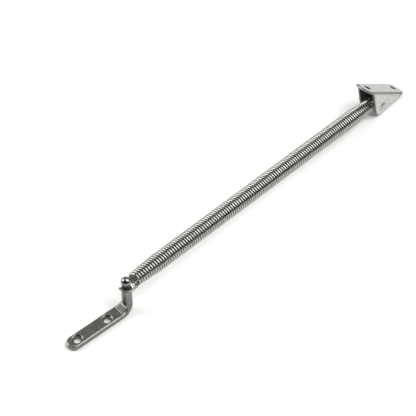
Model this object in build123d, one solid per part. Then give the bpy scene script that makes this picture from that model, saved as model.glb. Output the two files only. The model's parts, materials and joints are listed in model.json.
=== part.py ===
from build123d import *

import math
import os

# Spring stay for a hatch or lid. Millimetres, +Z up.
# Origin: middle of the foot's two screw holes, on the foot's bottom face. +X runs from the foot to the channel bracket.

# ---- foot -------------------------------------------------------------------------------------------------------------
FOOT_WIDTH = 11.0
FOOT_THICK = 4.2
FOOT_EDGE_ROUND = 1.2
FOOT_HOLE_SPACING = 26.5
FOOT_HOLE_D = 5.5
FOOT_SINK_D = 8.0
FOOT_TIP_BEYOND_HOLE = 8.5
NECK_FROM_HOLE = 18.7  # from the nearer screw hole to the stud's upright axis
BEND_RADIUS = 6.6  # centre line of the bend from plate to stem
RAMP_FROM_NECK = 8.0  # where the ramp inside the bend starts, from the stud's axis
RAMP_RUN = 3.6
RAMP_RISE = 4.3
RAMP_WIDTH = 8.6  # at the plate
RAMP_TOP_WIDTH = 6.4  # at the stem
STEM_D = 7.8
STEM_TOP_Z = 21.6

# ---- ball stud --------------------------------------------------------------------------------------------------------
COLLAR_D = 8.2
COLLAR_HEIGHT = 2.0
NECK_D = 5.2
BALL_D = 7.5
BALL_CENTRE_Z = 31.5
TENON_D = 4.0
TENON_LENGTH = 6.0
TENON_CLEARANCE = 0.05
SMALL_ROUND = 0.4

# ---- spring -----------------------------------------------------------------------------------------------------------
COIL_OD = 13.4
END_COIL_OD = 11.0
WIRE_D = 1.9
TAPER_TURNS = 10
SEGMENT_TURNS = 10
SEGMENT_COUNT = 10
CUT_GAP = 0.3  # along the wire, where one length of the spring ends and the next begins
COIL_AXIS_Z = 27.3  # height of the coil's axis where it crosses the stud's axis
HOOK_TO_FIRST_TURN = 7.3  # along the spring, from the stud's axis
HOOK_CLEARANCE = 0.3
HOOK_SIDE = 4.9  # wire centre, from the spring's axis to the hook's side run
HOOK_BEND = 4.3
HOOK_TAIL = 2.8
LOOP_TO_LAST_TURN = 9.0  # along the spring, to the rivet
CROSSOVER_BEND = 1.5
CROSSOVER_RUN = 2.05
LOOP_RADIUS = 4.2  # wire centre, round the rivet
LOOP_TAIL = 1.0
STAY_LENGTH = 279.0  # in plan, from the stud's axis to the rivet
SWING = 5.5  # degrees about the stud, as stored

# ---- channel bracket --------------------------------------------------------------------------------------------------
CHANNEL_WIDTH = 17.4
SHEET = 2.0
SHEET_BEND = 2.6  # outside radius
SHEET_BEND_INSIDE = 0.6
BASE_HOLE_SPACING = 44.0
BASE_HOLE_D = 5.0
BASE_END_RADIUS = 9.3
EAR_HALF_LENGTH = 25.8
EAR_TIP_RADIUS = 8.3
RIVET_DEPTH = 12.3  # from the base's outer face to the rivet
BASE_MIDDLE = -1.4  # along the base, from the rivet to the middle of the two holes
BASE_TILT = 35.4  # degrees, the base slopes down away from the spring as stored

# ---- rivet ------------------------------------------------------------------------------------------------------------
RIVET_D = 4.5
RIVET_CLEARANCE = 0.05
RIVET_HEAD_D = 8.2
RIVET_HEAD_HEIGHT = 1.5

# ---- worked out -------------------------------------------------------------------------------------------------------
hole_x = FOOT_HOLE_SPACING / 2
neck_x = hole_x + NECK_FROM_HOLE
tip_x = -hole_x - FOOT_TIP_BEYOND_HOLE
wire_r = WIRE_D / 2
coil_r = COIL_OD / 2 - wire_r
end_coil_r = END_COIL_OD / 2 - wire_r
rivet_z = EAR_TIP_RADIUS
slope = math.degrees(math.atan2(COIL_AXIS_Z - rivet_z, STAY_LENGTH))
axis_length = math.hypot(STAY_LENGTH, COIL_AXIS_Z - rivet_z)
hook_turn = 230.0  # where the first turn starts, degrees round the axis from +Y towards +Z
loop_turn = 66.0  # where the last turn ends
top_turn = 90.0  # the segments are cut along the top
total_turns = 2 * TAPER_TURNS + SEGMENT_COUNT * SEGMENT_TURNS - (hook_turn - loop_turn) / 360
pitch = (axis_length - HOOK_TO_FIRST_TURN - LOOP_TO_LAST_TURN) / total_turns
foot_taper_turns = TAPER_TURNS - (hook_turn - top_turn) / 360
bracket_taper_turns = TAPER_TURNS - (top_turn - loop_turn) / 360
first_joint = HOOK_TO_FIRST_TURN + foot_taper_turns * pitch
segment_length = SEGMENT_TURNS * pitch
last_joint = first_joint + SEGMENT_COUNT * segment_length
last_turn = last_joint + bracket_taper_turns * pitch

# The spring's own frame: origin where the coil's axis crosses the stud's axis, X along the coil's axis.
swung = Pos(neck_x, 0, 0) * Rot(0, 0, SWING)
spring_frame = swung * Pos(0, 0, COIL_AXIS_Z) * Rot(0, slope, 0)
# The bracket's own frame: origin at the rivet, X along the base, Z out of the base.
bracket_frame = swung * Pos(STAY_LENGTH, 0, rivet_z) * Rot(0, BASE_TILT, 0)


def on_axis(along, radius, turn):
    """A point at a distance along the spring's axis, on a circle round it."""
    return Vector(along, radius * math.cos(math.radians(turn)), radius * math.sin(math.radians(turn)))


def wire_along(path):
    """Round wire swept along a path in the spring's frame."""
    start = Plane(path @ 0, z_dir=path % 0)
    return sweep(start * Circle(wire_r), path=path, is_frenet=True)


def coil(start, turns, start_radius, end_radius, start_turn):
    """Some turns of the spring, cut back at both ends by half of the gap."""
    trim = CUT_GAP / 2 / (2 * math.pi * min(start_radius, end_radius))
    height = (turns - 2 * trim) * pitch
    cone = math.atan2(end_radius - start_radius, turns * pitch)
    # on a cone the helix's pitch is measured along the cone's side
    path = Edge.make_helix(pitch / math.cos(cone), height, start_radius, (0, 0, 0), (0, 0, 1), math.degrees(cone))
    # a helix made about +Z starts on +X, which lies at the bottom once the axis is turned to +X
    turn = start_turn + trim * 360 + 90
    path = path.moved(Pos(start + trim * pitch, 0, 0) * Rot(0, 90, 0) * Rot(0, 0, turn))
    return wire_along(path)


def make_foot_bracket():
    """Plate with a round end, bent up into a round stem."""
    plate_end = neck_x - BEND_RADIUS
    plan = Pos((tip_x + plate_end) / 2, 0, 0) * Rectangle(plate_end - tip_x, FOOT_WIDTH)
    plan = fillet(plan.vertices().group_by(Axis.X)[0], FOOT_WIDTH / 2 - 0.01)
    plate = extrude(plan, FOOT_THICK)
    rims = [e for e in plate.edges() if e.center().X < plate_end - 0.01 and abs(e.tangent_at(0.5).Z) < 0.5]
    plate = fillet(rims, FOOT_EDGE_ROUND)
    middle_z = FOOT_THICK / 2
    plate_section = Plane((plate_end, 0, middle_z), x_dir=(0, 1, 0), z_dir=(1, 0, 0)) * RectangleRounded(
        FOOT_WIDTH, FOOT_THICK, FOOT_EDGE_ROUND
    )
    stem_plane = Plane((neck_x, 0, middle_z + BEND_RADIUS), x_dir=(0, 1, 0), z_dir=(0, 0, 1))
    stem_section = stem_plane * RectangleRounded(STEM_D, STEM_D, STEM_D / 2 - 0.01)
    halfway = BEND_RADIUS * math.sqrt(0.5)
    path = ThreePointArc(
        (plate_end, 0, middle_z),
        (plate_end + halfway, 0, middle_z + BEND_RADIUS - halfway),
        (neck_x, 0, middle_z + BEND_RADIUS),
    )
    bend = sweep([plate_section, stem_section], path=path, multisection=True)
    stem = extrude(stem_section, STEM_TOP_Z - middle_z - BEND_RADIUS)
    ramp_x = neck_x - RAMP_FROM_NECK
    ramp_top = FOOT_THICK + RAMP_RISE
    sections = []
    for x, width, top in ((ramp_x, RAMP_WIDTH, FOOT_THICK), (ramp_x + RAMP_RUN, RAMP_TOP_WIDTH, ramp_top)):
        face = Plane((x, 0, (middle_z + top) / 2), x_dir=(0, 1, 0), z_dir=(1, 0, 0)) * Rectangle(width, top - middle_z)
        sections.append(face)
    ledge = extrude(sections[1], RAMP_FROM_NECK - RAMP_RUN - STEM_D / 4)
    ramp = loft(sections, ruled=True) + ledge
    body = plate + bend + stem + ramp
    for x in (-hole_x, hole_x):
        sink = (FOOT_SINK_D - FOOT_HOLE_D) / 2
        body -= Pos(x, 0, FOOT_THICK / 2) * Cylinder(FOOT_HOLE_D / 2, FOOT_THICK + 2)
        body -= Pos(x, 0, FOOT_THICK - sink / 2) * Cone(FOOT_HOLE_D / 2, FOOT_SINK_D / 2, sink)
    body -= Pos(neck_x, 0, STEM_TOP_Z - TENON_LENGTH / 2) * Cylinder(TENON_D / 2 + TENON_CLEARANCE, TENON_LENGTH)
    return body


def make_ball_stud():
    """Turned stud: tenon in the stem, collar, neck and ball."""
    collar = Pos(0, 0, STEM_TOP_Z + COLLAR_HEIGHT / 2) * Cylinder(COLLAR_D / 2, COLLAR_HEIGHT)
    collar = fillet(collar.edges().filter_by(GeomType.CIRCLE), SMALL_ROUND)
    neck = Pos(0, 0, (STEM_TOP_Z + BALL_CENTRE_Z) / 2) * Cylinder(NECK_D / 2, BALL_CENTRE_Z - STEM_TOP_Z)
    tenon = Pos(0, 0, STEM_TOP_Z - TENON_LENGTH / 2 + 0.5) * Cylinder(TENON_D / 2, TENON_LENGTH - 1)
    ball = Pos(0, 0, BALL_CENTRE_Z) * Sphere(BALL_D / 2)
    return Pos(neck_x, 0, 0) * (tenon + collar + neck + ball)


def make_foot_hook():
    """The spring's open hook round the stud's neck, with its cut tail on the far side."""
    start = on_axis(HOOK_TO_FIRST_TURN, end_coil_r, hook_turn)
    run = on_axis(0, 1, hook_turn - 90)
    trimmed = start + run * (CUT_GAP / 2)
    corner = start + run * CROSSOVER_RUN
    far_x = -(NECK_D / 2 + HOOK_CLEARANCE + wire_r)
    # the hook lies level with its corner, below the coil's axis
    ends = (far_x, -HOOK_SIDE, corner.Z), (far_x, HOOK_TAIL, corner.Z)
    path = FilletPolyline(trimmed, corner, *ends, radius=[CROSSOVER_BEND, HOOK_BEND])
    return wire_along(path)


def make_bracket_loop():
    """The spring's closed loop round the rivet."""
    start = on_axis(last_turn, end_coil_r, loop_turn)
    run = on_axis(0, 1, loop_turn + 90)
    trimmed = start + run * (CUT_GAP / 2)
    corner = start + run * CROSSOVER_RUN
    far_x = axis_length + RIVET_D / 2 + HOOK_CLEARANCE + wire_r
    near_x = far_x - 2 * LOOP_RADIUS
    path = FilletPolyline(
        trimmed,
        corner,
        (far_x, 0, LOOP_RADIUS),
        (far_x, 0, -LOOP_RADIUS),
        (near_x, 0, -LOOP_RADIUS),
        (near_x, 0, LOOP_TAIL),
        radius=[CROSSOVER_BEND] + [LOOP_RADIUS - 0.05] * 3,
    )
    return wire_along(path)


def make_channel_bracket():
    """Sheet bent to a channel: a base with round ends and two pointed ears."""
    ear_height = RIVET_DEPTH + EAR_TIP_RADIUS
    outer = Pos(0, RIVET_DEPTH - ear_height / 2) * Rectangle(CHANNEL_WIDTH, ear_height)
    outer = fillet(outer.vertices().group_by(Axis.Y)[-1], SHEET_BEND)
    inner = Pos(0, RIVET_DEPTH - SHEET - ear_height / 2) * Rectangle(CHANNEL_WIDTH - 2 * SHEET, ear_height)
    inner = fillet(inner.vertices().group_by(Axis.Y)[-1], SHEET_BEND_INSIDE)
    base_half = BASE_HOLE_SPACING / 2 + BASE_END_RADIUS
    across = Plane((BASE_MIDDLE - base_half, 0, 0), x_dir=(0, 1, 0), z_dir=(1, 0, 0))
    channel = extrude(across * (outer - inner), 2 * base_half)
    base_side = Pos(BASE_MIDDLE, RIVET_DEPTH - SHEET / 2) * Rectangle(2 * base_half, SHEET)
    ear_side = make_hull(
        [
            Edge.make_circle(EAR_TIP_RADIUS),
            Edge.make_line(
                (BASE_MIDDLE - EAR_HALF_LENGTH, RIVET_DEPTH), (BASE_MIDDLE + EAR_HALF_LENGTH, RIVET_DEPTH)
            ),
        ]
    )
    side_plane = Plane((0, CHANNEL_WIDTH / 2, 0), x_dir=(1, 0, 0), z_dir=(0, -1, 0))
    side = extrude(side_plane * (base_side + ear_side), CHANNEL_WIDTH)
    plan = SlotCenterToCenter(BASE_HOLE_SPACING, 2 * BASE_END_RADIUS)
    body = channel & side & extrude(Pos(BASE_MIDDLE, 0, -ear_height) * plan, 2 * ear_height)
    for x in (-BASE_HOLE_SPACING / 2, BASE_HOLE_SPACING / 2):
        body -= Pos(BASE_MIDDLE + x, 0, RIVET_DEPTH) * Cylinder(BASE_HOLE_D / 2, 4 * SHEET)
    body -= Rot(90, 0, 0) * Cylinder(RIVET_D / 2 + RIVET_CLEARANCE, 2 * CHANNEL_WIDTH)
    return bracket_frame * body


def make_pivot_rivet():
    """Rivet through both ears, with a low domed head on each."""
    shank = Rot(90, 0, 0) * Cylinder(RIVET_D / 2, CHANNEL_WIDTH)
    body = shank
    dome_r = (RIVET_HEAD_D**2 / 4 + RIVET_HEAD_HEIGHT**2) / (2 * RIVET_HEAD_HEIGHT)
    for side in (-1, 1):
        dome = Pos(0, 0, RIVET_HEAD_HEIGHT - dome_r) * Sphere(dome_r)
        dome &= Pos(0, 0, RIVET_HEAD_HEIGHT / 2) * Cylinder(RIVET_HEAD_D / 2, RIVET_HEAD_HEIGHT)
        body += Pos(0, side * CHANNEL_WIDTH / 2, 0) * Rot(-90 * side, 0, 0) * dome
    return bracket_frame * body


def make_nodes():
    """Every piece by name."""
    nodes = {
        "foot_bracket": make_foot_bracket(),
        "ball_stud": make_ball_stud(),
        "spring_foot_hook": spring_frame * make_foot_hook(),
        "spring_foot_taper": spring_frame
        * coil(HOOK_TO_FIRST_TURN, foot_taper_turns, end_coil_r, coil_r, hook_turn),
    }
    for number in range(SEGMENT_COUNT):
        start = first_joint + number * segment_length
        nodes[f"spring_coils_{number + 1:02d}"] = spring_frame * coil(start, SEGMENT_TURNS, coil_r, coil_r, top_turn)
    nodes["spring_bracket_taper"] = spring_frame * coil(last_joint, bracket_taper_turns, coil_r, end_coil_r, top_turn)
    nodes["spring_bracket_loop"] = spring_frame * make_bracket_loop()
    nodes["channel_bracket"] = make_channel_bracket()
    nodes["pivot_rivet"] = make_pivot_rivet()
    return nodes


if __name__ == "__main__":
    os.makedirs("parts", exist_ok=True)
    for name, shape in make_nodes().items():
        export_step(shape, f"parts/{name}.step")
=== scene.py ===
"""Spring stay for a hatch: the looks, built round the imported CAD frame. Metres, +Z up."""

from __future__ import annotations

import json
import logging
import math
from collections.abc import Callable
from dataclasses import dataclass, field
from enum import Enum

import bmesh
import bpy
from mathutils import Matrix, Vector
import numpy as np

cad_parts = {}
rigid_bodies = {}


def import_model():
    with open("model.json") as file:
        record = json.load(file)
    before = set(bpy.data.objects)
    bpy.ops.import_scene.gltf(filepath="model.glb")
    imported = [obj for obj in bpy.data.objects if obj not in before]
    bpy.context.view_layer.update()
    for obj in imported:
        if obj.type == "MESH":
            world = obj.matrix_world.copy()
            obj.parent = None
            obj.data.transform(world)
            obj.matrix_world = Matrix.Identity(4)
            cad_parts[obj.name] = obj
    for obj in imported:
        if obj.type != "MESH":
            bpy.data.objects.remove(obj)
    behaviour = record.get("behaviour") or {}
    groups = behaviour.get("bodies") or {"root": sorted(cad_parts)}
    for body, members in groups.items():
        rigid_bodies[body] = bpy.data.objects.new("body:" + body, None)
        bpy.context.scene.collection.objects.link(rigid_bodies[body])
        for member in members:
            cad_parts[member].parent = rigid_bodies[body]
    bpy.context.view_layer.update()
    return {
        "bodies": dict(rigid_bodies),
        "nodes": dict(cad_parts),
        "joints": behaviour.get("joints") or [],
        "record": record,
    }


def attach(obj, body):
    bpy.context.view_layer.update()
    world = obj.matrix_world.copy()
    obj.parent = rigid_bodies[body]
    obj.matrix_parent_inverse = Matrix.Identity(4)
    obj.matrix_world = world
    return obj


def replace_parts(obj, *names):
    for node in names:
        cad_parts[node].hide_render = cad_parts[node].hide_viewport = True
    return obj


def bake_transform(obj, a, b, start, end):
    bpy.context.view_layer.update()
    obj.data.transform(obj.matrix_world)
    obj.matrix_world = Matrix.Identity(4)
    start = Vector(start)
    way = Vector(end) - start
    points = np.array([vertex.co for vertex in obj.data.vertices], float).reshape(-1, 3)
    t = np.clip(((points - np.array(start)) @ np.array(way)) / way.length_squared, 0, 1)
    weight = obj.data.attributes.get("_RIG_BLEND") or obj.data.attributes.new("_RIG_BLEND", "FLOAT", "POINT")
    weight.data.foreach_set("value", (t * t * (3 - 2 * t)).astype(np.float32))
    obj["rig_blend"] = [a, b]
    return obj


LOG = logging.getLogger("spring_stay")
MM = 0.001
WELD_DISTANCE = 0.002 * MM  # the CAD mesh's loose triangles meet closer than this
EDGE_SPAN = 0.5 * MM  # an edge that turns one radian over this length gets the full edge value: full wear on the foot, full painted shade on the sheet
ROUTE_STEP = 0.3 * MM  # between points along the swept wire


# ---- small tools ------------------------------------------------------------------------------------------------------


def srgb(hex_colour: str) -> tuple[float, float, float, float]:
    """Turn an sRGB hex colour to linear RGBA.

    Args:
        hex_colour: six hex digits.

    Returns:
        The linear colour with an alpha of 1.
    """
    channels = [int(hex_colour[i : i + 2], 16) / 255 for i in (0, 2, 4)]
    linear = [c / 12.92 if c <= 0.04045 else ((c + 0.055) / 1.055) ** 2.4 for c in channels]
    return linear[0], linear[1], linear[2], 1.0


def add_node(
    tree: bpy.types.NodeTree,
    kind: str,
    settings: dict[str, object] | None = None,
    links: dict[str | int, object] | None = None,
) -> bpy.types.Node:
    """Add a node with its settings, values and incoming links.

    Args:
        tree: the tree that gets the node.
        kind: the node's type name.
        settings: the node's own properties.
        links: for each input, by name or number, an output socket to link or a value to set.

    Returns:
        The new node.
    """
    node = tree.nodes.new(kind)
    for name, value in (settings or {}).items():
        setattr(node, name, value)
    for key, value in (links or {}).items():
        socket = node.inputs[key]
        if isinstance(value, bpy.types.NodeSocket):
            tree.links.new(value, socket)
        else:
            socket.default_value = value
    return node


def link_mesh(name: str, mesh: bpy.types.Mesh) -> bpy.types.Object:
    """Make an object of a mesh and put it in the scene at the origin."""
    obj = bpy.data.objects.new(name, mesh)
    bpy.context.scene.collection.objects.link(obj)
    return obj


def with_modifiers_applied(obj: bpy.types.Object) -> bpy.types.Object:
    """Replace an object's mesh by its evaluated one and clear its modifiers."""
    graph = bpy.context.evaluated_depsgraph_get()
    graph.update()
    made = bpy.data.meshes.new_from_object(obj.evaluated_get(graph), preserve_all_data_layers=True, depsgraph=graph)
    made.name = obj.name
    obj.modifiers.clear()
    obj.data = made
    return obj


def merged_copy(name: str, node: bpy.types.Object) -> bpy.types.Object:
    """Copy a CAD node's mesh as one closed skin, with its loose triangles joined and flat faces whole.

    Args:
        name: the new object's name.
        node: the CAD node.

    Returns:
        The new object, with no material.
    """
    mesh = bpy.data.meshes.new(name)
    skin = bmesh.new()
    skin.from_mesh(node.data)
    bmesh.ops.remove_doubles(skin, verts=skin.verts, dist=WELD_DISTANCE)
    skin.to_mesh(mesh)
    skin.free()
    for layer in list(mesh.attributes):
        if layer.name in ("custom_normal", "sharp_edge", "sharp_face"):
            mesh.attributes.remove(layer)
    return link_mesh(name, mesh)


def shade_smooth(obj: bpy.types.Object) -> None:
    """Shade every face of a mesh smooth."""
    obj.data.shade_smooth()


def span(obj: bpy.types.Object) -> tuple[Vector, Vector]:
    """The lowest and highest corner of an object's mesh."""
    points = [v.co for v in obj.data.vertices]
    return Vector([min(p[i] for p in points) for i in range(3)]), Vector([max(p[i] for p in points) for i in range(3)])


def remeshed(obj: bpy.types.Object, voxel: float, smoothing: int) -> bpy.types.Object:
    """Turn a mesh to an even skin with softened edges.

    Args:
        obj: the object to change.
        voxel: the skin's face size in metres.
        smoothing: how many times the skin is smoothed.

    Returns:
        The same object with its new mesh.
    """
    remesh = obj.modifiers.new("even_skin", "REMESH")
    remesh.mode = "VOXEL"
    remesh.voxel_size = voxel
    remesh.use_smooth_shade = True
    smooth = obj.modifiers.new("soft_edges", "SMOOTH")
    smooth.factor = 0.5
    smooth.iterations = smoothing
    return with_modifiers_applied(obj)


def store_edge_abrasion_and_painted_light(
    obj: bpy.types.Object,
    reach: int = 3,
    gain: float = 1.6,
    painted_highlight: Callable[[Vector], float] = lambda point: 0.0,
) -> None:
    """Store how far each vertex stands on an outer edge, plus any painted highlight, from 0 to 1, for the finishes to
    read: the cast foot shows it as bright wear, the sheet as painted shade along its edges.

    Args:
        obj: an object with an evenly meshed skin.
        reach: how many times the value is spread to its neighbours.
        gain: what the value is multiplied by.
        painted_highlight: gives the painted highlight at a point beyond its edges.
    """
    mesh = obj.data
    skin = bmesh.new()
    skin.from_mesh(mesh)
    skin.normal_update()
    bend = []
    for vertex in skin.verts:
        edges = [e for e in vertex.link_edges if len(e.link_faces) == 2]
        length = sum(e.calc_length() for e in edges) or 1.0
        total = sum(e.calc_face_angle_signed(0.0) for e in edges)
        bend.append(max(0.0, total / length * EDGE_SPAN))
    neighbours = [[e.other_vert(v).index for e in v.link_edges] for v in skin.verts]
    skin.free()
    for _ in range(reach):
        bend = [(value + sum(bend[n] for n in near)) / (1 + len(near)) for value, near in zip(bend, neighbours)]
    attribute = mesh.attributes.new("edge_abrasion_and_painted_light", "FLOAT", "POINT")
    abraded_and_painted_light = [min(1.0, value * gain + painted_highlight(v.co)) for value, v in zip(bend, mesh.vertices)]
    attribute.data.foreach_set("value", abraded_and_painted_light)


def store_painted_shade(obj: bpy.types.Object, depth: Callable[[Vector], float]) -> None:
    """Store how much painted shade each vertex gets, from 0 to 1, for the finishes to read.

    Args:
        obj: the object.
        depth: gives the value at a point.
    """
    attribute = obj.data.attributes.new("painted_shade", "FLOAT", "POINT")
    attribute.data.foreach_set("value", [min(1.0, max(0.0, depth(v.co))) for v in obj.data.vertices])


# ---- finishes ---------------------------------------------------------------------------------------------------------


@dataclass(frozen=True)
class MetalPattern:
    """How a metal's cloudy patches, grain, edge wear, painted edge light and painted shade look. Sizes are in
    millimetres.
    """

    dark: str
    light: str
    rough_low: float
    rough_high: float
    cloud_mm: float
    grain_mm: float
    grain_height_mm: float
    stretch: tuple[float, float, float] = (1.0, 1.0, 1.0)
    # edge colour: bright wear on the cast foot with a painted highlight on its ramp, painted shade along the sheet's
    # edges
    abrasion_and_painted_light: str = "E6E6E2"
    abrasion_and_painted_light_rough: float = 0.2
    # colour of the painted shade laid in the channel, under the ball and over the hook
    painted_shade: str = "26251F"
    painted_shade_rough: float = 0.5

    def build(self, name: str) -> bpy.types.Material:
        """Make the material.

        Args:
            name: the material's name.

        Returns:
            A metal that reads Object coordinates, an edge attribute for wear and painted edge light, and an attribute
            of painted shade.
        """
        material = bpy.data.materials.new(name)
        material.use_nodes = True
        tree = material.node_tree
        tree.nodes.clear()
        place = add_node(tree, "ShaderNodeTexCoord")
        stretched = add_node(
            tree, "ShaderNodeMapping", {}, {"Vector": place.outputs["Object"], "Scale": self.stretch}
        )
        cloud = add_node(
            tree,
            "ShaderNodeTexNoise",
            {},
            {"Vector": place.outputs["Object"], "Scale": 1 / (self.cloud_mm * MM), "Detail": 4.0, "Roughness": 0.6},
        )
        grain = add_node(
            tree,
            "ShaderNodeTexNoise",
            {},
            {
                "Vector": stretched.outputs["Vector"],
                "Scale": 1 / (self.grain_mm * MM),
                "Detail": 3.0,
                "Roughness": 0.7,
            },
        )
        # edge value: wear on the foot's edges, a painted highlight on its ramp, painted shade along the sheet's edges
        abrasion_and_painted_light = add_node(tree, "ShaderNodeAttribute", {"attribute_name": "edge_abrasion_and_painted_light"})
        patches = add_node(
            tree,
            "ShaderNodeMapRange",
            {},
            {"Value": cloud.outputs["Fac"], "From Min": 0.32, "From Max": 0.68},
        )
        colour = add_node(
            tree,
            "ShaderNodeMix",
            {"data_type": "RGBA"},
            {"Factor": patches.outputs["Result"], 6: srgb(self.dark), 7: srgb(self.light)},
        )
        abraded_and_painted_light = add_node(
            tree,
            "ShaderNodeMix",
            {"data_type": "RGBA"},
            {"Factor": abrasion_and_painted_light.outputs["Fac"], 6: colour.outputs[2], 7: srgb(self.abrasion_and_painted_light)},
        )
        # painted shade: a vertex attribute mixes in a near-black, rougher colour that is not metallic
        painted_shade = add_node(tree, "ShaderNodeAttribute", {"attribute_name": "painted_shade"})
        with_painted_shade = add_node(
            tree,
            "ShaderNodeMix",
            {"data_type": "RGBA"},
            {"Factor": painted_shade.outputs["Fac"], 6: abraded_and_painted_light.outputs[2], 7: srgb(self.painted_shade)},
        )
        rough = add_node(
            tree,
            "ShaderNodeMapRange",
            {},
            {
                "Value": grain.outputs["Fac"],
                "From Min": 0.3,
                "From Max": 0.7,
                "To Min": self.rough_low,
                "To Max": self.rough_high,
            },
        )
        rough_abraded_and_painted_light = add_node(
            tree,
            "ShaderNodeMix",
            {},
            {"Factor": abrasion_and_painted_light.outputs["Fac"], "A": rough.outputs["Result"], "B": self.abrasion_and_painted_light_rough},
        )
        rough_with_painted_shade = add_node(
            tree,
            "ShaderNodeMix",
            {},
            {"Factor": painted_shade.outputs["Fac"], "A": rough_abraded_and_painted_light.outputs["Result"], "B": self.painted_shade_rough},
        )
        # the metal turns non-metallic under the painted shade
        metallic_outside_painted_shade = add_node(
            tree, "ShaderNodeMath", {"operation": "SUBTRACT", "use_clamp": True}, {0: 1.0, 1: painted_shade.outputs["Fac"]}
        )
        bump = add_node(
            tree,
            "ShaderNodeBump",
            {},
            {"Height": grain.outputs["Fac"], "Distance": self.grain_height_mm * MM, "Strength": 1.0},
        )
        shader = add_node(
            tree,
            "ShaderNodeBsdfPrincipled",
            {},
            {
                "Base Color": with_painted_shade.outputs[2],
                "Metallic": metallic_outside_painted_shade.outputs["Value"],
                "Roughness": rough_with_painted_shade.outputs["Result"],
                "Normal": bump.outputs["Normal"],
            },
        )
        add_node(tree, "ShaderNodeOutputMaterial", {}, {"Surface": shader.outputs["BSDF"]})
        return material


class Finish(Enum):
    """The finishes of the stay's pieces."""

    # investment-cast stainless, tumbled: soft satin with a fine stone grain, edges rubbed bright; the same bright edge
    # colour paints a highlight on the ramp inside the bend
    TUMBLED_CAST_STAINLESS = MetalPattern("64665F", "82837C", 0.30, 0.46, 2.6, 0.55, 0.03, abrasion_and_painted_light="A9A9A3", abrasion_and_painted_light_rough=0.3)
    # turned and mirror-polished stainless: near-mirror, faint polishing haze; near-black painted shade on the collar
    # and neck and a painted dark reflection on the ball's lower half
    MIRROR_POLISHED_STAINLESS = MetalPattern("7C7C78", "888884", 0.06, 0.11, 6.0, 0.8, 0.001)
    # hard-drawn stainless wire: bright, with faint die lines; near-black painted shade over the hook
    DRAWN_STAINLESS_WIRE = MetalPattern("9C9B96", "B0AFAA", 0.09, 0.15, 3.0, 0.4, 0.002)
    # pressed stainless sheet, tumbled after bending: pale satin with cloudy patches, a dark edge colour that paints
    # shade along the edges, and near-black painted shade in the channel, holes, cut faces and bends
    SATIN_STAINLESS_SHEET = MetalPattern(
        "B8B8B4", "D6D6D2", 0.36, 0.5, 2.2, 0.45, 0.016, abrasion_and_painted_light="62625E", abrasion_and_painted_light_rough=0.4, painted_shade="191917"
    )
    # headed rivet stainless: satin with small tool marks
    HEADED_RIVET_STAINLESS = MetalPattern("A8A8A4", "BCBCB8", 0.26, 0.38, 2.0, 0.35, 0.008)

    def material(self) -> bpy.types.Material:
        """The finish's material, made once."""
        name = self.name.lower()
        return bpy.data.materials.get(name) or self.value.build(name)


def dress(obj: bpy.types.Object, finish: Finish) -> None:
    """Give a piece one finish all over."""
    obj.data.materials.clear()
    obj.data.materials.append(finish.material())


# ---- the spring -------------------------------------------------------------------------------------------------------


@dataclass
class SpringFrame:
    """The spring's own frame, read from the joints: X along the coil's axis, Z up, origin on the stud's axis."""

    joints: dict[str, dict]
    coil_od: float = 13.4 * MM
    end_coil_od: float = 11.0 * MM
    wire_d: float = 1.9 * MM
    turns_per_joint: int = 10
    taper_turns: float = 10.0
    origin: Vector = field(init=False)
    turn: Matrix = field(init=False)

    def __post_init__(self) -> None:
        """Work out the frame from the joints."""
        bends = self.bend_names
        first, last = (Vector(self.joints[n]["pos_m"]) for n in (bends[0], bends[-1]))
        along = (last - first).normalized()
        across = -Vector(self.joints[bends[0]]["axis"]).normalized()
        up = along.cross(across)
        self.origin = Vector(self.joints["swivel"]["pos_m"])
        self.turn = Matrix((along, across, up)).transposed()

    @property
    def bend_names(self) -> list[str]:
        """The bending joints in order from the foot."""
        return sorted(n for n in self.joints if n.startswith("bend_"))

    def local(self, point: Vector) -> Vector:
        """A point of the row frame, in the spring's frame."""
        return self.turn.transposed() @ (point - self.origin)

    def world(self, point: Vector) -> Vector:
        """A point of the spring's frame, in the row frame."""
        return self.origin + self.turn @ point

    def joint_x(self, name: str) -> float:
        """How far along the spring a joint lies."""
        return self.local(Vector(self.joints[name]["pos_m"])).x

    @property
    def pitch(self) -> float:
        """The distance from one turn to the next."""
        first, second = self.bend_names[:2]
        return (self.joint_x(second) - self.joint_x(first)) / self.turns_per_joint

    @property
    def first_turn_x(self) -> float:
        """Where the first turn starts."""
        return self.joint_x("lift")

    @property
    def coil_r(self) -> float:
        """The wire's distance from the axis along the middle of the spring."""
        return (self.coil_od - self.wire_d) / 2

    @property
    def end_coil_r(self) -> float:
        """The wire's distance from the axis at the ends."""
        return (self.end_coil_od - self.wire_d) / 2

    @property
    def hook_turn(self) -> float:
        """Where the first turn starts, degrees round the axis from +Y towards +Z."""
        return 230.0

    @property
    def loop_turn(self) -> float:
        """Where the last turn ends."""
        return 66.0

    @property
    def total_turns(self) -> float:
        """All turns of the spring."""
        middle = self.turns_per_joint * (len(self.bend_names) - 1)
        return middle + 2 * self.taper_turns - (self.hook_turn - self.loop_turn) / 360

    def turn_at(self, x: float) -> float:
        """How many turns lie before a distance along the spring."""
        return (x - self.first_turn_x) / self.pitch

    def on_axis(self, x: float, radius: float, degrees: float) -> Vector:
        """A point at a distance along the spring, on a circle round its axis."""
        angle = math.radians(degrees)
        return Vector((x, radius * math.cos(angle), radius * math.sin(angle)))


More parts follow.
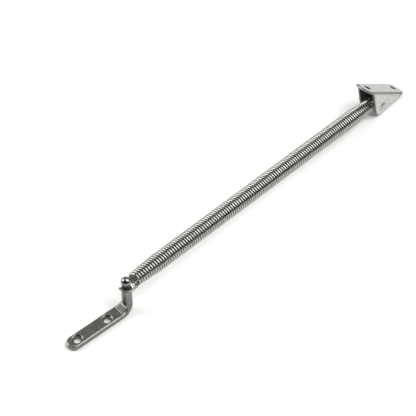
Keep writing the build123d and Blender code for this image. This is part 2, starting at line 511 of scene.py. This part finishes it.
@dataclass
class SpringTurns:
    """Geometry Nodes tree that winds part of the spring's wire."""

    points_per_turn: int = 56
    wire_sides: int = 14

    def tree(self) -> bpy.types.NodeTree:
        """The tree, made once.

        Returns:
            A node group with named inputs for the winding's sizes.
        """
        made = bpy.data.node_groups.get("spring_turns")
        if made:
            return made
        tree = bpy.data.node_groups.new("spring_turns", "GeometryNodeTree")
        sockets = {
            "From Turn": "NodeSocketFloat",
            "To Turn": "NodeSocketFloat",
            "Points per Turn": "NodeSocketInt",
            "Pitch": "NodeSocketFloat",
            "Coil Radius": "NodeSocketFloat",
            "End Radius": "NodeSocketFloat",
            "Taper Turns": "NodeSocketFloat",
            "Total Turns": "NodeSocketFloat",
            "Start Angle": "NodeSocketFloat",
            "Start X": "NodeSocketFloat",
            "Wire Radius": "NodeSocketFloat",
            "Wire Sides": "NodeSocketInt",
            "Place": "NodeSocketVector",
            "Turn": "NodeSocketRotation",
            "Material": "NodeSocketMaterial",
        }
        for name, kind in sockets.items():
            tree.interface.new_socket(name, in_out="INPUT", socket_type=kind)
        tree.interface.new_socket("Geometry", in_out="OUTPUT", socket_type="NodeSocketGeometry")
        given = add_node(tree, "NodeGroupInput").outputs

        def math_node(operation: str, first: object, second: object = 0.0, clamp: bool = False) -> object:
            """One sum on two values."""
            settings = {"operation": operation, "use_clamp": clamp}
            return add_node(tree, "ShaderNodeMath", settings, {0: first, 1: second}).outputs[0]

        span = math_node("SUBTRACT", given["To Turn"], given["From Turn"])
        steps = math_node("ROUND", math_node("MULTIPLY", span, given["Points per Turn"]))
        line = add_node(
            tree, "GeometryNodeMeshLine", {"mode": "OFFSET"}, {"Count": math_node("ADD", steps, 1.0)}
        )
        curve = add_node(tree, "GeometryNodeMeshToCurve", {}, {"Mesh": line.outputs["Mesh"]})
        index = add_node(tree, "GeometryNodeInputIndex").outputs["Index"]
        share = math_node("DIVIDE", index, steps)
        turn = math_node("ADD", given["From Turn"], math_node("MULTIPLY", share, span))
        from_end = math_node("MINIMUM", turn, math_node("SUBTRACT", given["Total Turns"], turn))
        taper = math_node("DIVIDE", from_end, given["Taper Turns"], clamp=True)
        growth = math_node("SUBTRACT", given["Coil Radius"], given["End Radius"])
        radius = math_node("ADD", given["End Radius"], math_node("MULTIPLY", growth, taper))
        angle = math_node("ADD", given["Start Angle"], math_node("MULTIPLY", turn, 2 * math.pi))
        position = add_node(
            tree,
            "ShaderNodeCombineXYZ",
            {},
            {
                "X": math_node("ADD", given["Start X"], math_node("MULTIPLY", turn, given["Pitch"])),
                "Y": math_node("MULTIPLY", radius, math_node("COSINE", angle)),
                "Z": math_node("MULTIPLY", radius, math_node("SINE", angle)),
            },
        )
        wound = add_node(
            tree,
            "GeometryNodeSetPosition",
            {},
            {"Geometry": curve.outputs["Curve"], "Position": position.outputs["Vector"]},
        )
        ring = add_node(
            tree,
            "GeometryNodeCurvePrimitiveCircle",
            {"mode": "RADIUS"},
            {"Resolution": given["Wire Sides"], "Radius": given["Wire Radius"]},
        )
        wire = add_node(
            tree,
            "GeometryNodeCurveToMesh",
            {},
            {"Curve": wound.outputs["Geometry"], "Profile Curve": ring.outputs["Curve"], "Fill Caps": True},
        )
        placed = add_node(
            tree,
            "GeometryNodeTransform",
            {},
            {"Geometry": wire.outputs["Mesh"], "Translation": given["Place"], "Rotation": given["Turn"]},
        )
        smooth = add_node(tree, "GeometryNodeSetShadeSmooth", {}, {"Geometry": placed.outputs["Geometry"]})
        real = add_node(tree, "GeometryNodeRealizeInstances", {}, {"Geometry": smooth.outputs["Geometry"]})
        dressed = add_node(
            tree,
            "GeometryNodeSetMaterial",
            {},
            {"Geometry": real.outputs["Geometry"], "Material": given["Material"]},
        )
        add_node(tree, "NodeGroupOutput", {}, {"Geometry": dressed.outputs["Geometry"]})
        return tree

    def build(self, name: str, frame: SpringFrame, from_turn: float, to_turn: float) -> bpy.types.Object:
        """Wind one piece of the spring.

        Args:
            name: the piece's name.
            frame: the spring's frame and sizes.
            from_turn: the turn at which the piece starts.
            to_turn: the turn at which it ends.

        Returns:
            A plain mesh object in the row frame.
        """
        obj = link_mesh(name, bpy.data.meshes.new(name))
        modifier = obj.modifiers.new("winding", "NODES")
        modifier.node_group = self.tree()
        values = {
            "From Turn": from_turn,
            "To Turn": to_turn,
            "Points per Turn": self.points_per_turn,
            "Pitch": frame.pitch,
            "Coil Radius": frame.coil_r,
            "End Radius": frame.end_coil_r,
            "Taper Turns": frame.taper_turns,
            "Total Turns": frame.total_turns,
            "Start Angle": math.radians(frame.hook_turn),
            "Start X": frame.first_turn_x,
            "Wire Radius": frame.wire_d / 2,
            "Wire Sides": self.wire_sides,
            "Place": frame.origin,
            "Turn": frame.turn.to_euler(),
            "Material": Finish.DRAWN_STAINLESS_WIRE.material(),
        }
        for item in modifier.node_group.interface.items_tree:
            if item.item_type == "SOCKET" and item.in_out == "INPUT":
                modifier[item.identifier] = values[item.name]
        return with_modifiers_applied(obj)


def rounded_route(corners: list[Vector], radii: list[float], steps: int = 14) -> list[Vector]:
    """Points along straight runs joined by tangent arcs.

    Args:
        corners: the route's ends and corners.
        radii: one radius for each inner corner.
        steps: points on each arc.

    Returns:
        The points in order.
    """
    points = [corners[0]]
    for before, corner, after, radius in zip(corners, corners[1:], corners[2:], radii):
        back, ahead = (before - corner).normalized(), (after - corner).normalized()
        half = back.angle(ahead) / 2
        reach = radius / math.tan(half)
        middle = corner + (back + ahead).normalized() * (radius / math.sin(half))
        start, end = corner + back * reach - middle, corner + ahead * reach - middle
        turn = start.rotation_difference(end)
        axis, angle = turn.to_axis_angle()
        points += [middle + Matrix.Rotation(angle * i / steps, 3, axis) @ start for i in range(steps + 1)]
    return points + [corners[-1]]


def even_points(points: list[Vector], spacing: float) -> list[Vector]:
    """Points at even steps along a route.

    Args:
        points: the route.
        spacing: about how far apart the new points are.

    Returns:
        The new points, the route's ends among them.
    """
    lengths = [0.0]
    for a, b in zip(points, points[1:]):
        lengths.append(lengths[-1] + (b - a).length)
    count = max(2, round(lengths[-1] / spacing))
    made, leg = [], 0
    for i in range(count + 1):
        at = lengths[-1] * i / count
        while leg < len(points) - 2 and lengths[leg + 1] < at:
            leg += 1
        share = (at - lengths[leg]) / max(lengths[leg + 1] - lengths[leg], 1e-9)
        made.append(points[leg].lerp(points[leg + 1], share))
    return made


def wire_mesh(
    name: str, points: list[Vector], radius: float, sides: int = 16, broken: float = 0.18
) -> bpy.types.Object:
    """A round wire along points, with a softly broken edge at each cut end.

    Args:
        name: the object's name.
        points: the wire's centre line.
        radius: the wire's radius.
        sides: faces round the wire.
        broken: how wide the broken edge at a cut end is, as a share of the radius.

    Returns:
        The object.
    """
    mesh = bpy.data.meshes.new(name)
    skin = bmesh.new()
    tangents = [(points[min(i + 1, len(points) - 1)] - points[max(i - 1, 0)]).normalized() for i in range(len(points))]
    normal = tangents[0].orthogonal().normalized()
    rings: list[list[bmesh.types.BMVert]] = []
    edge = broken * radius
    nearly = 0.3 * edge  # the broken edge's middle ring
    last = len(points) - 1
    for i, (point, tangent) in enumerate(zip(points, tangents)):
        normal = (normal - tangent * normal.dot(tangent)).normalized()
        other = tangent.cross(normal)
        profile = [(0.0, radius)]
        if i == 0:
            profile = [(0.0, radius - edge), (nearly, radius - nearly), (edge, radius)]
        if i == last:
            profile = [(-edge, radius), (-nearly, radius - nearly), (0.0, radius - edge)]
        for ahead, size in profile:
            ring = []
            for k in range(sides):
                angle = 2 * math.pi * k / sides
                offset = normal * (size * math.cos(angle)) + other * (size * math.sin(angle))
                ring.append(skin.verts.new(point + tangent * ahead + offset))
            rings.append(ring)
    for first, second in zip(rings, rings[1:]):
        for k in range(sides):
            skin.faces.new((first[k], first[(k + 1) % sides], second[(k + 1) % sides], second[k]))
    skin.faces.new(list(reversed(rings[0])))
    skin.faces.new(rings[-1])
    bmesh.ops.recalc_face_normals(skin, faces=skin.faces)
    skin.to_mesh(mesh)
    skin.free()
    obj = link_mesh(name, mesh)
    shade_smooth(obj)
    return obj


@dataclass
class Spring:
    """The whole wire: open hook, tapered and straight turns, and loop round the rivet."""

    frame: SpringFrame
    crossover_run: float = 2.05 * MM
    crossover_bend: float = 1.5 * MM
    hook_painted_shade: float = 0.4
    hook_side: float = 4.9 * MM
    hook_far: float = 3.85 * MM
    hook_bend: float = 4.3 * MM
    hook_tail: float = 2.8 * MM
    loop_radius: float = 4.2 * MM
    loop_past_rivet: float = 3.5 * MM
    loop_tail: float = 1.0 * MM
    turns: SpringTurns = field(default_factory=SpringTurns)

    def hook_points(self) -> list[Vector]:
        """The foot hook's centre line, from the first turn to the cut tail."""
        frame = self.frame
        start = frame.on_axis(frame.first_turn_x, frame.end_coil_r, frame.hook_turn)
        corner = start + frame.on_axis(0, self.crossover_run, frame.hook_turn - 90)
        corners = [
            start,
            corner,
            Vector((-self.hook_far, -self.hook_side, corner.z)),
            Vector((-self.hook_far, self.hook_tail, corner.z)),
        ]
        route = rounded_route(corners, [self.crossover_bend, self.hook_bend])
        return [frame.world(p) for p in even_points(route, ROUTE_STEP)]

    def loop_points(self) -> list[Vector]:
        """The bracket loop's centre line, from the last turn to the cut tail."""
        frame = self.frame
        end_x = frame.first_turn_x + frame.total_turns * frame.pitch
        start = frame.on_axis(end_x, frame.end_coil_r, frame.loop_turn)
        corner = start + frame.on_axis(0, self.crossover_run, frame.loop_turn + 90)
        far_x = frame.joint_x("pivot") + self.loop_past_rivet
        near_x = far_x - 2 * self.loop_radius
        corners = [
            start,
            corner,
            Vector((far_x, 0, self.loop_radius)),
            Vector((far_x, 0, -self.loop_radius)),
            Vector((near_x, 0, -self.loop_radius)),
            Vector((near_x, 0, self.loop_tail)),
        ]
        route = rounded_route(corners, [self.crossover_bend] + [self.loop_radius - 0.05 * MM] * 3)
        return [frame.world(p) for p in even_points(route, ROUTE_STEP)]

    def build(self) -> list[bpy.types.Object]:
        """Make every piece of the wire and set what it moves with.

        Returns:
            The pieces, from the foot to the bracket.
        """
        frame = self.frame
        bends = frame.bend_names
        joints = [frame.turn_at(frame.joint_x(n)) for n in bends]
        # each blended piece runs from the middle of one rigid length to the middle of the next
        middles = [joints[0] / 2]
        middles += [(a + b) / 2 for a, b in zip(joints, joints[1:])]
        middles.append((joints[-1] + frame.total_turns) / 2)
        made = []

        hook = wire_mesh("wire_hook", self.hook_points(), frame.wire_d / 2)
        # painted shade over the whole hook, which lies in shade under the ball
        store_painted_shade(hook, lambda point: self.hook_painted_shade)
        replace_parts(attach(hook, "hook"), "spring_foot_hook")
        made.append(hook)

        first = self.turns.build("wire_turns_foot", frame, 0.0, middles[0])
        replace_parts(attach(first, "coils_00"), "spring_foot_taper")
        made.append(first)

        for number, (start, end) in enumerate(zip(middles, middles[1:])):
            joint = frame.joints[bends[number]]
            piece = self.turns.build(f"wire_turns_{number + 1:02d}", frame, start, end)
            ends = [frame.world(Vector((frame.first_turn_x + t * frame.pitch, 0, 0))) for t in (start, end)]
            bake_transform(piece, joint["parent"], joint["child"], start=ends[0], end=ends[1])
            if number < len(bends) - 1:
                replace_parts(piece, f"spring_coils_{number + 1:02d}")
            made.append(piece)

        last_body = frame.joints[bends[-1]]["child"]
        last = self.turns.build("wire_turns_bracket", frame, middles[-1], frame.total_turns)
        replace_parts(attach(last, last_body), "spring_bracket_taper")
        made.append(last)

        loop = wire_mesh("wire_loop", self.loop_points(), frame.wire_d / 2)
        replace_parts(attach(loop, last_body), "spring_bracket_loop")
        made.append(loop)

        for piece in made:
            dress(piece, Finish.DRAWN_STAINLESS_WIRE)
        return made


# ---- foot and bracket -------------------------------------------------------------------------------------------------


@dataclass
class Foot:
    """Cast foot plate with its stem, and the turned ball stud on top."""

    nodes: dict[str, bpy.types.Object]
    cast_skin: float = 0.2 * MM
    cast_smoothing: int = 12
    collar_top_over_tenon: float = 7.0 * MM
    ball_d: float = 7.5 * MM
    plate_top: float = 4.2 * MM
    ramp_start: float = 8.0 * MM  # before the stem's axis
    ramp_end: float = 3.4 * MM
    stem_x: float = 31.95 * MM
    # painted highlight on the ramp inside the bend, where it catches the light
    ramp_painted_highlight: float = 0.45
    above_plate: float = 0.1 * MM
    # painted shade on the collar's top and the neck under the ball, and a painted dark reflection on the ball's lower
    # half
    stud_painted_shade_below_collar_top: float = 0.1 * MM
    stud_painted_shade_at_ball_middle: float = 0.3
    stud_painted_shade_gain: float = 0.9
    stud_painted_shade_fade: float = 0.75  # of the ball's radius

    def painted_highlight_at(self, point: Vector) -> float:
        """How bright the painted highlight on the ramp inside the bend is, at a point."""
        before = self.stem_x - point.x
        on_ramp = self.ramp_end < before < self.ramp_start and point.z > self.plate_top + self.above_plate
        return self.ramp_painted_highlight if on_ramp else 0.0

    def build(self) -> list[bpy.types.Object]:
        """Make the cast skin over the CAD foot with a painted highlight on its ramp, and dress the stud with painted
        shade under its ball.

        Returns:
            The pieces.
        """
        casting = remeshed(merged_copy("foot_casting", self.nodes["foot_bracket"]), self.cast_skin, self.cast_smoothing)
        # edge wear, with a painted highlight on the ramp
        store_edge_abrasion_and_painted_light(casting, painted_highlight=self.painted_highlight_at)
        dress(casting, Finish.TUMBLED_CAST_STAINLESS)
        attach(casting, "foot")
        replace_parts(casting, "foot_bracket")
        stud = merged_copy("turned_stud", self.nodes["ball_stud"])
        shade_smooth(stud)
        stud.data.set_sharp_from_angle(angle=math.radians(40))
        low, high = (corner.z for corner in span(stud))
        collar_top = low + self.collar_top_over_tenon
        ball_middle = high - self.ball_d / 2

        def stud_painted_shade(point: Vector) -> float:
            """Painted shade on the collar's top and the neck under the ball, thinning out up the ball as a painted dark
            reflection on its lower half.
            """
            if point.z < collar_top - self.stud_painted_shade_below_collar_top:
                return 0.0
            share = (ball_middle - point.z) / (self.stud_painted_shade_fade * self.ball_d / 2)
            return self.stud_painted_shade_gain * share + self.stud_painted_shade_at_ball_middle

        store_painted_shade(stud, stud_painted_shade)
        dress(stud, Finish.MIRROR_POLISHED_STAINLESS)
        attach(stud, "foot")
        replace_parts(stud, "ball_stud")
        return [casting, stud]


@dataclass
class Bracket:
    """Sheet channel with its rivet."""

    nodes: dict[str, bpy.types.Object]
    joints: dict[str, dict]
    mounts: dict[str, dict]
    width: float = 17.4 * MM
    sheet: float = 2.0 * MM
    bend_outside: float = 2.6 * MM
    hole_d: float = 5.0 * MM
    end_radius: float = 9.3 * MM
    sheet_skin: float = 0.25 * MM
    sheet_smoothing: int = 2
    slack: float = 0.2 * MM  # the skin may lie this far off the CAD faces
    edge_slack: float = 0.3 * MM
    # how much painted shade the sheet's hollows, holes, ends, cut faces and bends get
    inside_painted_shade: float = 0.85
    hole_painted_shade: float = 1.0
    end_painted_shade: float = 0.4
    cut_painted_shade: float = 0.6
    bend_painted_shade: float = 0.85
    bend_middle_deg: float = 50.0
    bend_spread_deg: float = 30.0

    def painted_shade_at(self, point: Vector) -> float:
        """How much painted shade the sheet gets at a point: inside the channel, in its holes, on its cut faces and
        rounded ends, and in a band along its bends.

        Args:
            point: a point of the row frame.

        Returns:
            0 for none, up to 1 for the darkest painted shade.
        """
        away = point - Vector(self.joints["pivot"]["pos_m"])
        across = abs(away.dot(Vector(self.joints["pivot"]["axis"])))
        face = self.mounts["base_face"]
        normal = Vector(face["axis"])
        below = (Vector(face["pos_m"]) - point).dot(normal)
        inside = self.width / 2 - self.sheet + self.slack
        # painted shade inside the channel, in the holes, on the rounded ends past the holes, on the cut faces and in a
        # band along the outer bends
        if across < inside and below > self.sheet - self.slack:
            return self.inside_painted_shade
        holes = [Vector(self.mounts[name]["pos_m"]) for name in ("base_hole_near", "base_hole_far")]
        middle = (holes[0] + holes[1]) / 2
        for hole in holes:
            off = point - hole
            flat = off - normal * off.dot(normal)
            if flat.length < self.hole_d / 2 + self.slack:
                return self.hole_painted_shade
            past_hole = flat.dot(hole - middle) > 0 and flat.length > self.end_radius - self.edge_slack
            if past_hole and below < self.sheet:
                return self.end_painted_shade
        if inside < across < self.width / 2 - self.edge_slack and below > self.bend_outside:
            return self.cut_painted_shade
        out = across - (self.width / 2 - self.bend_outside)
        up = self.bend_outside - below
        if out > 0 and up > 0:
            off_middle = abs(math.degrees(math.atan2(up, out)) - self.bend_middle_deg)
            return self.bend_painted_shade * max(0.0, 1 - off_middle / self.bend_spread_deg)
        return 0.0

    def build(self) -> list[bpy.types.Object]:
        """Make the channel's skin with broken edges, and dress the rivet.

        Returns:
            The pieces.
        """
        channel = remeshed(
            merged_copy("channel_sheet", self.nodes["channel_bracket"]), self.sheet_skin, self.sheet_smoothing
        )
        # dark painted shade along the edges, and inside the channel, in its holes, on its cut faces and along its bends
        store_edge_abrasion_and_painted_light(channel)
        store_painted_shade(channel, self.painted_shade_at)
        dress(channel, Finish.SATIN_STAINLESS_SHEET)
        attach(channel, "bracket")
        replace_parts(channel, "channel_bracket")
        rivet = self.nodes["pivot_rivet"]
        dress(rivet, Finish.HEADED_RIVET_STAINLESS)
        return [channel, rivet]


# ---- studio -----------------------------------------------------------------------------------------------------------


@dataclass
class Softbox:
    """One soft light. Its place is given from the point that it faces."""

    name: str
    azimuth_deg: float
    elevation_deg: float
    distance: float
    width: float
    height: float
    watts: float

    def build(self, target: Vector) -> None:
        """Make the light, facing the target."""
        light = bpy.data.lights.new(self.name, "AREA")
        light.shape = "RECTANGLE"
        light.size, light.size_y = self.width, self.height
        light.energy = self.watts
        obj = bpy.data.objects.new(self.name, light)
        azimuth, elevation = math.radians(self.azimuth_deg), math.radians(self.elevation_deg)
        away = Vector(
            (math.sin(azimuth) * math.cos(elevation), -math.cos(azimuth) * math.cos(elevation), math.sin(elevation))
        )
        obj.location = target + away * self.distance
        obj.rotation_mode = "QUATERNION"
        obj.rotation_quaternion = away.to_track_quat("Z", "Y")
        bpy.context.scene.collection.objects.link(obj)


@dataclass
class Studio:
    """Camera, pale floor and soft light."""

    aim: Vector = field(default_factory=lambda: Vector((0.1295, 0.0245, 0.015)))
    distance: float = 1.0486
    azimuth_deg: float = -40.94
    elevation_deg: float = 49.29
    lens_mm: float = 121.15
    sensor_mm: float = 36.0
    floor_half: float = 4.0
    glow: float = 0.08  # the paper lies on a lit table
    pale_side: Vector = field(default_factory=lambda: Vector((0.35, 0.85, 0.35)))
    front_strength: float = 0.05
    back_strength: float = 0.5
    backdrop_colour: str = "EDEDEC"

    def camera(self) -> None:
        """Make the scene's camera."""
        data = bpy.data.cameras.new("camera")
        data.lens = self.lens_mm
        data.sensor_width = self.sensor_mm
        data.clip_start, data.clip_end = 0.05, 50.0
        obj = bpy.data.objects.new("camera", data)
        azimuth, elevation = math.radians(self.azimuth_deg), math.radians(self.elevation_deg)
        back = Vector(
            (math.sin(azimuth) * math.cos(elevation), -math.cos(azimuth) * math.cos(elevation), math.sin(elevation))
        )
        obj.location = self.aim + back * self.distance
        obj.rotation_mode = "QUATERNION"
        obj.rotation_quaternion = back.to_track_quat("Z", "Y")
        bpy.context.scene.collection.objects.link(obj)
        bpy.context.scene.camera = obj

    def floor(self, height: float) -> None:
        """Make the floor at a height."""
        mesh = bpy.data.meshes.new("floor")
        half = self.floor_half
        corners = [(-half, -half, height), (half, -half, height), (half, half, height), (-half, half, height)]
        mesh.from_pydata(corners, [], [(0, 1, 2, 3)])
        obj = link_mesh("floor", mesh)
        material = bpy.data.materials.new("white_paper")
        material.use_nodes = True
        shader = material.node_tree.nodes["Principled BSDF"]
        shader.inputs["Base Color"].default_value = srgb("F4F4F3")
        shader.inputs["Roughness"].default_value = 0.9
        shader.inputs["Specular IOR Level"].default_value = 0.1
        shader.inputs["Emission Color"].default_value = srgb("FFFFFF")
        shader.inputs["Emission Strength"].default_value = self.glow
        mesh.materials.append(material)

    def light(self) -> None:
        """Make the softboxes and the room's even light."""
        world = bpy.data.worlds.new("room")
        bpy.context.scene.world = world
        world.use_nodes = True
        tree = world.node_tree
        tree.nodes.clear()
        way = add_node(tree, "ShaderNodeTexCoord").outputs["Generated"]
        toward_back = add_node(tree, "ShaderNodeVectorMath", {"operation": "DOT_PRODUCT"}, {0: way, 1: self.pale_side})
        strength = add_node(
            tree,
            "ShaderNodeMapRange",
            {"interpolation_type": "SMOOTHSTEP"},
            {
                "Value": toward_back.outputs["Value"],
                "From Min": -0.3,
                "From Max": 0.9,
                "To Min": self.front_strength,
                "To Max": self.back_strength,
            },
        )
        room = add_node(
            tree, "ShaderNodeBackground", {}, {"Color": srgb("FFFFFF"), "Strength": strength.outputs["Result"]}
        )
        backdrop = add_node(
            tree, "ShaderNodeBackground", {}, {"Color": srgb(self.backdrop_colour), "Strength": 1.0}
        )
        # the camera sees a pale backdrop past the floor, and the metal still reflects the shaded room
        seen = add_node(
            tree,
            "ShaderNodeMixShader",
            {},
            {
                0: add_node(tree, "ShaderNodeLightPath").outputs["Is Camera Ray"],
                1: room.outputs["Background"],
                2: backdrop.outputs["Background"],
            },
        )
        add_node(tree, "ShaderNodeOutputWorld", {}, {"Surface": seen.outputs["Shader"]})
        for box in (
            Softbox("softbox_left", -140.7, 30.0, distance=1.6, width=0.8, height=1.6, watts=17.0),
            Softbox("softbox_right", 43.5, 56.0, distance=1.6, width=1.3, height=1.75, watts=29.0),
        ):
            box.build(self.aim)
        bpy.context.scene.view_settings.view_transform = "Standard"
        # the turns are finer than the denoiser's own clean-up of its guide pictures would keep
        bpy.context.scene.cycles.denoising_prefilter = "NONE"


def main() -> None:
    """Build the stay round its CAD frame."""
    logging.basicConfig(level=logging.INFO, format="%(name)s: %(message)s")
    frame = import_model()
    studio = Studio()
    studio.camera()
    joints = {joint["name"]: joint for joint in frame["joints"]}
    pieces = Spring(SpringFrame(joints)).build()
    pieces += Foot(frame["nodes"]).build()
    mounts = {mount["name"]: mount for mount in frame["record"]["mounts"]}
    pieces += Bracket(frame["nodes"], joints, mounts).build()
    for piece in pieces:
        LOG.info("%s: %d faces", piece.name, len(piece.data.polygons))
    studio.floor(0.0)
    studio.light()


if __name__ == "__main__":
    main()
